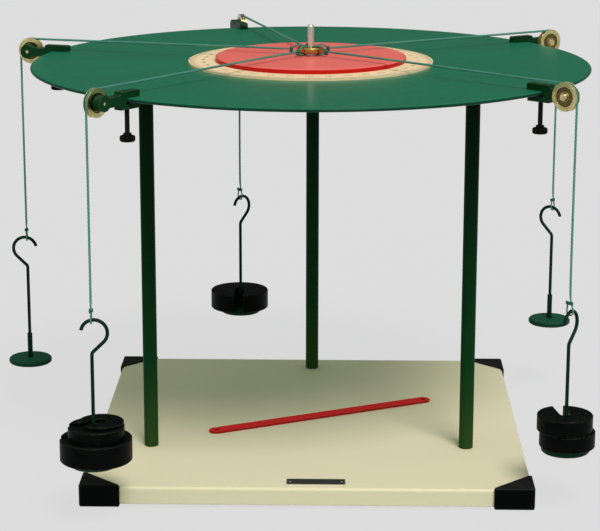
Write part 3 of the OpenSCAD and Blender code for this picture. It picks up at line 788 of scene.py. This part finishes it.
# A leg is painted darker towards its head, a painted shade from the table, and lighter towards its
# foot, a painted light from the tray.
LEG_SHADE_FROM, LEG_SHADE_TO = 0.08, 0.34  # heights up a leg, in metres
LEG_LIGHT_FROM, LEG_LIGHT_TO = 0.09, 0.018


def coated(name, colour, roughness, specular, grain=0.0011, peel=0.00004, mottle=0.05,
           spread=0.07, edge=0.0004, wear=0.6, bare=PRIMER, dusty=0.1, rubbed=0.2, sides=None,
           leg_shade_and_light=None):
    """A sprayed or moulded skin, with painted shade on upright faces and painted light and shade
    along a leg.
    """
    material, tree, shader = finish(name, Specular_IOR_Level=specular)
    film = coat_on(tree, colour, grain, mottle, roughness, spread)
    corner = place_group(tree, "soft_edges", Radius=edge, Breakup=1.0)
    scratch = place_group(tree, "rubs", Turn=0.6, Amount=rubbed)
    film_of_dust = place_group(tree, "dust", Amount=dusty)
    worn = product(tree, corner["Wear"], wear, clamp=True)
    base = film["Color"]
    # Upright faces take the sides colour, which is a painted shade.
    if sides:
        level_faces = place_group(tree, "facing_up", From=0.5, To=0.95)
        base = mixed(tree, level_faces["Level"], sides, base)
    # Painted shade towards the head of a leg and painted light towards its foot.
    if leg_shade_and_light:
        height = object_height(tree)
        base = mixed(tree, ramp(tree, height, LEG_SHADE_FROM, LEG_SHADE_TO), base, leg_shade_and_light[1])
        base = mixed(tree, ramp(tree, height, LEG_LIGHT_FROM, LEG_LIGHT_TO), base, leg_shade_and_light[0])
    base = mixed(tree, worn, base, bare)
    base = mixed(tree, film_of_dust["Mask"], base, DUST)
    rough = mixed(tree, scratch["Mask"], film["Roughness"], 0.7, "FLOAT")
    surface(tree, shader, base, rough, film["Height"], peel, corner["Normal"])
    return material


# Each sides colour below is a painted shade on the upright faces.
tray_enamel = coated(
    "cream_enamel", screen(225, 214, 180), 0.34, 0.12, peel=0.00002, mottle=0.02, edge=0.0008,
    wear=0.2, dusty=0.0, rubbed=0.05, sides=screen(215, 208, 174))
table_enamel = coated(
    "green_enamel", screen(30, 108, 80), 0.22, 0.05, mottle=0.05, wear=0.3, dusty=0.0,
    rubbed=0.1, sides=screen(16, 58, 42))
pan_enamel = coated(
    "green_pan_enamel", screen(16, 72, 54), 0.36, 0.05, mottle=0.1, wear=0.8, dusty=0.01,
    sides=screen(8, 54, 38))
# The first colour is a painted light at the foot of a leg, and the second a painted shade at its
# head.
leg_enamel = coated(
    "dark_green_enamel", screen(12, 54, 24), 0.28, 0.03, mottle=0.1, wear=0.4, dusty=0.0,
    leg_shade_and_light=(screen(40, 66, 26), screen(3, 28, 10)))
clamp_enamel = coated(
    "clamp_enamel", screen(8, 52, 24), 0.38, 0.07, grain=0.0008, peel=0.00008, mottle=0.12,
    edge=0.0005, wear=1.0, bare=screen(120, 116, 96), dusty=0.03)
hook_enamel = coated(
    "hook_enamel", screen(10, 38, 28), 0.34, 0.05, mottle=0.1, wear=0.3, dusty=0.0)
bar_enamel = coated(
    "red_bar_enamel", screen(214, 40, 38), 0.34, 0.02, mottle=0.12, wear=1.0,
    bare=screen(206, 120, 108), dusty=0.0, sides=screen(150, 26, 20))
print("enamels:", [m.name for m in bpy.data.materials if "enamel" in m.name])

# %% [markdown]
# **Plastics.** The red centre disc is sheet plastic whose top has faded to a chalky pink, while
# its edge has kept the full red, so the colour follows the faces that look up. The degree disc
# is a printed card-like sheet, yellowed with age. The corner feet are black mouldings with a
# fine leather-like grain, which the enamel's function can make as well. The ink of the scale is
# a thin coat, a little glossier than the card, and it fills the face of the plate on the tray
# too.

# %% Plastics and ink
disc_red, tree, shader = finish("red_sheet", Specular_IOR_Level=0.03)
film = coat_on(tree, screen(224, 106, 99), grain=0.004, mottle=0.03, rough=0.3, spread=0.05)
faded = place_group(tree, "facing_up", From=0.5, To=0.95)
corner = place_group(tree, "soft_edges", Radius=0.0005, Breakup=1.0)
scratch = place_group(tree, "rubs", Turn=1.9, Amount=0.4)
base = mixed(tree, faded["Mask"], screen(184, 28, 24), film["Color"])
base = mixed(tree, scratch["Mask"], base, screen(214, 140, 132))
rough = mixed(tree, scratch["Mask"], film["Roughness"], 0.6, "FLOAT")
surface(tree, shader, base, rough, film["Height"], 0.00002, corner["Normal"])

scale_sheet, tree, shader = finish("scale_sheet", Specular_IOR_Level=0.03)
film = coat_on(tree, screen(232, 204, 164), grain=0.0006, mottle=0.03, rough=0.42, spread=0.06)
aged = ramp(tree, noise(tree, object_place(tree), 33, 5.0, 0.6), 0.5, 0.85, 0.0, 0.22)
base = mixed(tree, aged, film["Color"], screen(190, 166, 118))
surface(tree, shader, base, film["Roughness"], film["Height"], 0.000015)

# The pale worn edges of the feet are partly wear and partly a painted highlight along their top
# edges.
foot_moulding = coated(
    "black_moulding", screen(3, 5, 4), 0.24, 0.04, grain=0.0007, peel=0.00009, mottle=0.15,
    spread=0.08, edge=0.0012, wear=0.7, bare=screen(112, 116, 112), dusty=0.03, rubbed=0.0)

ink, tree, shader = finish("scale_ink", Specular_IOR_Level=0.3)
film = coat_on(tree, screen(44, 42, 40), grain=0.0003, mottle=0.3, rough=0.5, spread=0.05)
surface(tree, shader, film["Color"], film["Roughness"])
print("made:", [m.name for m in (disc_red, scale_sheet, foot_moulding, ink)])

# %% [markdown]
# ** Turned metal.** The wheels, their screws and the ring are turned brass, gone a little brown in
# the hollows. The centre pin and the screws in the base are plated steel. The slotted masses are
# turned iron, blacked, and rubbed grey on their edges, a grey that also stands in for glints of
# light there, which is a painted highlight. Every turned piece has its own axis, so the finish is
# a function that is called once for each wheel or mass, with the axis as its values. A wheel's
# rim and hub are kept bright by fingers, but the hollow between them, from 4 to 8.4 mm out, is
# dark: partly tarnish where it is never rubbed, and partly a painted shade.

# %% Turned metal
# A wheel's hollow is darkened: partly tarnish, partly a painted shade.
HOLLOW_MIDDLE, HOLLOW_HALF, HOLLOW_BLUR = 0.0062, 0.0022, 0.0007
HOLLOW_DARKENING = 0.88


def turned_metal(name, centre, axis, bright, dull, roughness, pitch=0.0004, cut=0.00002,
                 edge=0.0003, metal=1.0, specular=0.5, rubbed_edge_and_glint=None, wear=0.0, hollow=None):
    """A metal with tool marks. hollow darkens a wheel's hollow ring: partly tarnish, partly
    painted shade.
    """
    material, tree, shader = finish(name, Metallic=metal, Specular_IOR_Level=specular)
    rings = place_group(tree, "lathe_rings", Centre=tuple(centre), Axis=tuple(axis), Pitch=pitch)
    corner = place_group(tree, "soft_edges", Radius=edge, Breakup=0.6)
    blotch = ramp(tree, noise(tree, object_place(tree), 160, 5.0, 0.62), 0.38, 0.72)
    marks = ramp(tree, rings["Tone"], 0.3, 0.7, 0.4, 1.0)
    tone = product(tree, blotch, marks, clamp=True)
    base = mixed(tree, tone, bright, dull)
    # Pale rubbed edges: partly wear, partly a painted highlight for glints along them.
    if rubbed_edge_and_glint:
        worn = product(tree, corner["Wear"], wear, clamp=True)
        base = mixed(tree, worn, base, rubbed_edge_and_glint)
    # Darkens the hollow ring: partly tarnish, partly a painted shade.
    if hollow:
        from_middle = math_node(tree, "SUBTRACT", rings["Radius"], HOLLOW_MIDDLE)
        tarnish_and_shade = ramp(tree, math_node(tree, "ABSOLUTE", from_middle), HOLLOW_HALF,
                       HOLLOW_HALF - HOLLOW_BLUR, 0.0, HOLLOW_DARKENING)
        base = mixed(tree, tarnish_and_shade, base, hollow)
    rough = ramp(tree, tone, 0.0, 1.0, roughness, roughness + 0.16)
    surface(tree, shader, base, rough, rings["Height"], cut, corner["Normal"])
    return material


# The third colour is for a wheel's hollow: partly tarnish, partly a painted shade.
BRASS, BROWN, HOLLOW_TARNISH_AND_SHADE = screen(226, 216, 156), screen(164, 140, 84), screen(78, 68, 28)
finishes = {}  # by the CAD piece's name, or by how its name starts
for n in STATIONS:
    axle = AXLE_OUT * outward(n) + UP * AXLE_Z
    finishes[f"pulley_wheel_{n}"] = turned_metal(
        f"wheel_brass_{n}", axle, tangent(n), BRASS, BROWN, 0.2, hollow=HOLLOW_TARNISH_AND_SHADE)
    finishes[f"axle_screw_{n}"] = turned_metal(
        f"screw_brass_{n}", axle, tangent(n), screen(238, 222, 168), BROWN, 0.16, pitch=0.0003)
ring_brass = turned_metal("ring_brass", (0, 0, 0), UP, screen(186, 158, 84),
                          screen(92, 72, 28), 0.24, cut=0.000008)
plated_steel = turned_metal("plated_steel", (0, 0, 0), UP, screen(232, 228, 218),
                            screen(196, 190, 180), 0.3, pitch=0.0008, cut=0.000004)
print("wheels and their screws:", len(finishes))

# %% [markdown]
# A mass hangs where its hanger takes it, so its axis is found from the box round the CAD piece.
# The black on it is paint-like and not a bare metal, so it has no metallic part.

# %% Blacked iron of the masses
masses = [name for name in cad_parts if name.startswith("mass_")]
for name in masses:
    low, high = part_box(name)
    # The rubbed grey on a mass's edges is partly wear and partly a painted highlight.
    finishes[name] = turned_metal(
        f"iron_{name}", (low + high) / 2, UP, screen(3, 6, 5), screen(8, 10, 8), 0.34,
        pitch=0.0007, cut=0.00005, edge=0.0006, metal=0.0, specular=0.04,
        rubbed_edge_and_glint=screen(104, 100, 86), wear=0.8)
print("masses:", masses)

# %% [markdown]
# The thumbscrews are blacked steel with a real thread on the shank. The thread is too fine to
# model for five screws, and a helical bump shows every turn of it. The shank is worn a little on
# the crests, where it has run in the clamp, and the head on its edges.

# %% Blacked thumbscrews
THUMB_OUT, THUMB_ACROSS = 0.2455, 0.00655
SHANK_FROM, SHANK_BLUR = 0.0067, 0.0002  # over the underside of the head
THREAD = 0.0007
CREST_RUB, EDGE_RUB = 0.1, 0.6

for n in STATIONS:
    middle = THUMB_OUT * outward(n) + THUMB_ACROSS * tangent(n)
    material, tree, shader = finish(f"blacked_screw_{n}", Specular_IOR_Level=0.05)
    film = coat_on(tree, screen(6, 7, 6), grain=0.0005, mottle=0.2, rough=0.34, spread=0.08)
    corner = place_group(tree, "soft_edges", Radius=0.0003, Breakup=0.5)
    turns = place_group(tree, "screw_thread", Centre=tuple(middle), Pitch=THREAD)
    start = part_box(f"thumbscrew_{n}")[0].z + SHANK_FROM
    on_shank = ramp(tree, object_height(tree), start, start + SHANK_BLUR)
    crest = math_node(tree, "SUBTRACT", 1.0, turns["Groove"])
    worn = math_node(tree, "MAXIMUM", product(tree, crest, on_shank, CREST_RUB),
                     product(tree, corner["Wear"], EDGE_RUB), clamp=True)
    base = mixed(tree, worn, film["Color"], screen(96, 92, 86))
    ridge = product(tree, turns["Height"], on_shank)
    surface(tree, shader, base, film["Roughness"], ridge, THREAD / 2, corner["Normal"])
    finishes[f"thumbscrew_{n}"] = material
print("pieces with a finish of their own:", len(finishes))

# %% [markdown]
# ** Cord.** Twisted cord is matt, because it is a mass of fine fibres that each catch the light.
# A fine noise gives the fibres, and a coarser one the lighter and darker stretches where hands
# and pulleys have polished it. Where the cord lies level its upper side is painted darker, a
# painted shade against the light from above. A little sheen lifts the edges, as fuzz does. The
# thread of the bindings is finer and darker.

# %% Cord finish
cord_fibre, tree, shader = finish("green_cord", Specular_IOR_Level=0.05, Sheen_Weight=0.1,
                                  Sheen_Roughness=0.5, Roughness=0.85)
place = object_place(tree)
fibres = noise(tree, place, 5200, 3.0, 0.7)
stretch = ramp(tree, noise(tree, place, 70, 3.0, 0.6), 0.3, 0.7)
wool = mixed(tree, stretch, screen(80, 138, 122), screen(100, 154, 140))
wool = mixed(tree, ramp(tree, fibres, 0.35, 0.65, 0.0, 0.45), wool, screen(54, 108, 96))
# The upper side of a level cord is painted darker, which is a painted shade.
top = place_group(tree, "facing_up", From=-0.1, To=0.7)
level_top_painted_darker = mixed(tree, top["Mask"], wool, screen(66, 122, 104))
surface(tree, shader, level_top_painted_darker, height=fibres, depth=0.00006)

binding_thread, tree, shader = finish("binding_thread", Specular_IOR_Level=0.05, Roughness=0.8)
fibres = noise(tree, object_place(tree), 6400, 3.0, 0.7)
thread_green = mixed(tree, fibres, screen(30, 78, 68), screen(54, 108, 94))
surface(tree, shader, thread_green, height=fibres, depth=0.00004)

for piece in cords:
    piece.data.materials.append(binding_thread if "binding" in piece.name else cord_fibre)
print("cords and bindings:", len(cords))

# %% [markdown]
# ## Dress the CAD pieces
#
# A CAD piece arrives with one plain material slot. Swapping the material in that slot dresses it
# and leaves its shape alone. The prefixes of the names say which finish a piece takes.

# %% Assign finishes
finishes |= {
    "base_tray": tray_enamel, "foot_": foot_moulding, "leg_rear": leg_enamel,
    "leg_front": leg_enamel, "leg_screws_base": plated_steel, "leg_screws_table": table_enamel,
    "table_top": table_enamel, "degree_disc": scale_sheet, "red_disc": disc_red,
    "centre_pin": plated_steel, "pin_nut": plated_steel, "centre_ring": ring_brass,
    "clamp_frame": clamp_enamel, "hanger_hook": hook_enamel, "hanger_pan": pan_enamel,
    "link_bar": bar_enamel, "cord_": cord_fibre,
}
for node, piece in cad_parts.items():
    piece.data.materials.clear()
    piece.data.materials.append(next(finishes[k] for k in finishes if node.startswith(k)))
print("dressed:", len(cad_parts))

# %% [markdown]
# ## The degree scale
#
# The pale disc shows as a ring round the red one, and it is the protractor of the apparatus. It
# carries a line for every degree, longer at 5 and longest at 10, and a number every 10 degrees
# that reads from outside. A texture would blur from nearby, so the print is real, flat geometry
# that lies 0.03 mm over the disc. Each number is a text object turned into mesh once.

# %% Lines of the scale
INK_Z = SCALE_TOP + 0.00003
LINE_OUTER = 0.1078
LINES = {10: (0.1008, 0.00035), 5: (0.1028, 0.00028), 1: (0.1046, 0.00020)}  # inner end, width
BAND = (0.1077, 0.1080)


def flat_quad(bm, corners):
    bm.faces.new([bm.verts.new((p.x, p.y, INK_Z)) for p in corners])


def ray_quad(bm, degree, inner, outer, width):
    near, far = level_way(degree) * inner, level_way(degree) * outer
    side = level_way(degree + 90) * (width / 2)
    flat_quad(bm, (near - side, far - side, far + side, near + side))


def ring_band(bm, inner, outer):
    for degree in range(360):
        a, b = level_way(degree), level_way(degree + 1)
        flat_quad(bm, (a * inner, a * outer, b * outer, b * inner))


bm = bmesh.new()
for degree in range(360):
    inner, width = next(LINES[step] for step in LINES if degree % step == 0)
    ray_quad(bm, degree, inner, LINE_OUTER, width)
ring_band(bm, *BAND)
scale_lines = piece_from("scale_lines", bm, "stand", ink)
print("scale lines:", len(scale_lines.data.polygons))

# %% [markdown]
# A number is made where the middle of the disc is, turned so that its foot points inward, and
# moved out along its line. All 36 go into one mesh, because they are one print.

# %% Numbers of the scale
NUMBER_OUT, NUMBER_HEIGHT = 0.0965, 0.0048


def text_mesh(words, size):
    curve = bpy.data.curves.new("number", "FONT")
    curve.body, curve.size, curve.resolution_u = words, size, 3
    curve.align_x, curve.align_y = "CENTER", "CENTER"
    holder = bpy.data.objects.new("number", curve)
    scene.collection.objects.link(holder)
    bpy.context.view_layer.update()
    mesh = bpy.data.meshes.new_from_object(
        holder.evaluated_get(bpy.context.evaluated_depsgraph_get()))
    bpy.data.objects.remove(holder)
    return mesh


bm = bmesh.new()
for degree in range(0, 360, 10):
    mesh = text_mesh(str(degree), NUMBER_HEIGHT)
    mesh.transform(
        Matrix.Translation(NUMBER_OUT * level_way(degree) + UP * INK_Z)
        @ Matrix.Rotation(math.radians(degree + 90), 4, "Z")
    )
    bm.from_mesh(mesh)
scale_numbers = piece_from("scale_numbers", bm, "stand", ink)
print("numbers:", len(scale_numbers.data.polygons), "faces")

# %% [markdown]
# ## The bare plate
#
# A small plate is set on the front of the tray. It stays blank here: a strip of satin metal
# whose face is filled in with black, so that only a bright rim is left, and a rivet at each end.
# A rounded outline pushed up by half a millimetre makes it, the black is a second slab laid on
# it, and each rivet is half a squashed ball.

# %% Helpers for the plate
def rounded_outline(half_x, half_y, radius, parts=6):
    points = []
    for cx, cy, start in ((1, 1, 0), (-1, 1, 90), (-1, -1, 180), (1, -1, 270)):
        for k in range(parts + 1):
            a = math.radians(start + 90 * k / parts)
            points.append((cx * (half_x - radius) + radius * math.cos(a),
                           cy * (half_y - radius) + radius * math.sin(a)))
    return points


def slab(outline, middle, low, high, bevel):
    """A flat plate with an outline, from low to high, whose top edge is bevelled."""
    rings = []
    for z, inset in ((low, 0.0), (high - bevel, 0.0), (high, bevel)):
        ring = []
        for x, y in outline:
            d = Vector((x, y)).normalized() * inset
            ring.append((middle[0] + x - d.x, middle[1] + y - d.y, z))
        rings.append(ring)
    return skinned(rings)


print("corners of a plate's outline:", len(rounded_outline(2, 1, 0.1)))

# %% [markdown]
# The bright metal is scratched along its length, as a plate is when it is wiped. Each layer
# reaches a tenth of a millimetre into the one under it, so that no gap shows at a low angle.

# %% Plate on the tray
PLATE = (0.0078, -0.1760)
PLATE_HALF, PLATE_CORNER, PLATE_RISE, PLATE_BEVEL = (0.0252, 0.0070), 0.0012, 0.0005, 0.00012
FACE_HALF, FACE_CORNER, FACE_RISE, FACE_BEVEL = (0.0243, 0.0061), 0.0008, 0.00058, 0.00008
SUNK = 0.0001
RIVET_OUT, RIVET_RADIUS, RIVET_SQUASH, RIVET_RISE = 0.0222, 0.0011, 0.45, 0.00052

plate_metal, tree, shader = finish("plate_metal", Metallic=1.0)
film = coat_on(tree, screen(216, 210, 190), grain=0.0004, mottle=0.04, rough=0.38, spread=0.05)
scratch = place_group(tree, "rubs", Turn=0.0, Amount=0.8)
rough = mixed(tree, scratch["Mask"], film["Roughness"], 0.6, "FLOAT")
surface(tree, shader, film["Color"], rough, film["Height"], 0.00001)

bm = slab(rounded_outline(*PLATE_HALF, PLATE_CORNER), PLATE, DECK_TOP - SUNK,
          DECK_TOP + PLATE_RISE, PLATE_BEVEL)
plate = piece_from("blank_plate", bm, "stand", plate_metal)
bm = slab(rounded_outline(*FACE_HALF, FACE_CORNER), PLATE, DECK_TOP + PLATE_RISE - SUNK,
          DECK_TOP + FACE_RISE, FACE_BEVEL)
piece_from("blank_plate_face", bm, "stand", ink)
bm = bmesh.new()
for side in (-1, 1):
    head = bmesh.ops.create_uvsphere(
        bm, u_segments=16, v_segments=8, radius=RIVET_RADIUS)["verts"]
    bmesh.ops.scale(bm, vec=(1, 1, RIVET_SQUASH), verts=head)
    bmesh.ops.translate(
        bm, vec=(PLATE[0] + side * RIVET_OUT, PLATE[1], DECK_TOP + RIVET_RISE), verts=head)
piece_from("blank_plate_rivets", bm, "stand", plate_metal)
print("plate:", [round(v * 1000, 1) for v in plate.dimensions])

# %% [markdown]
# ## The size of the whole
#
# The box round everything that is drawn, without the floor, is found at the end.

# %% The size of the whole
low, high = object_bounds()
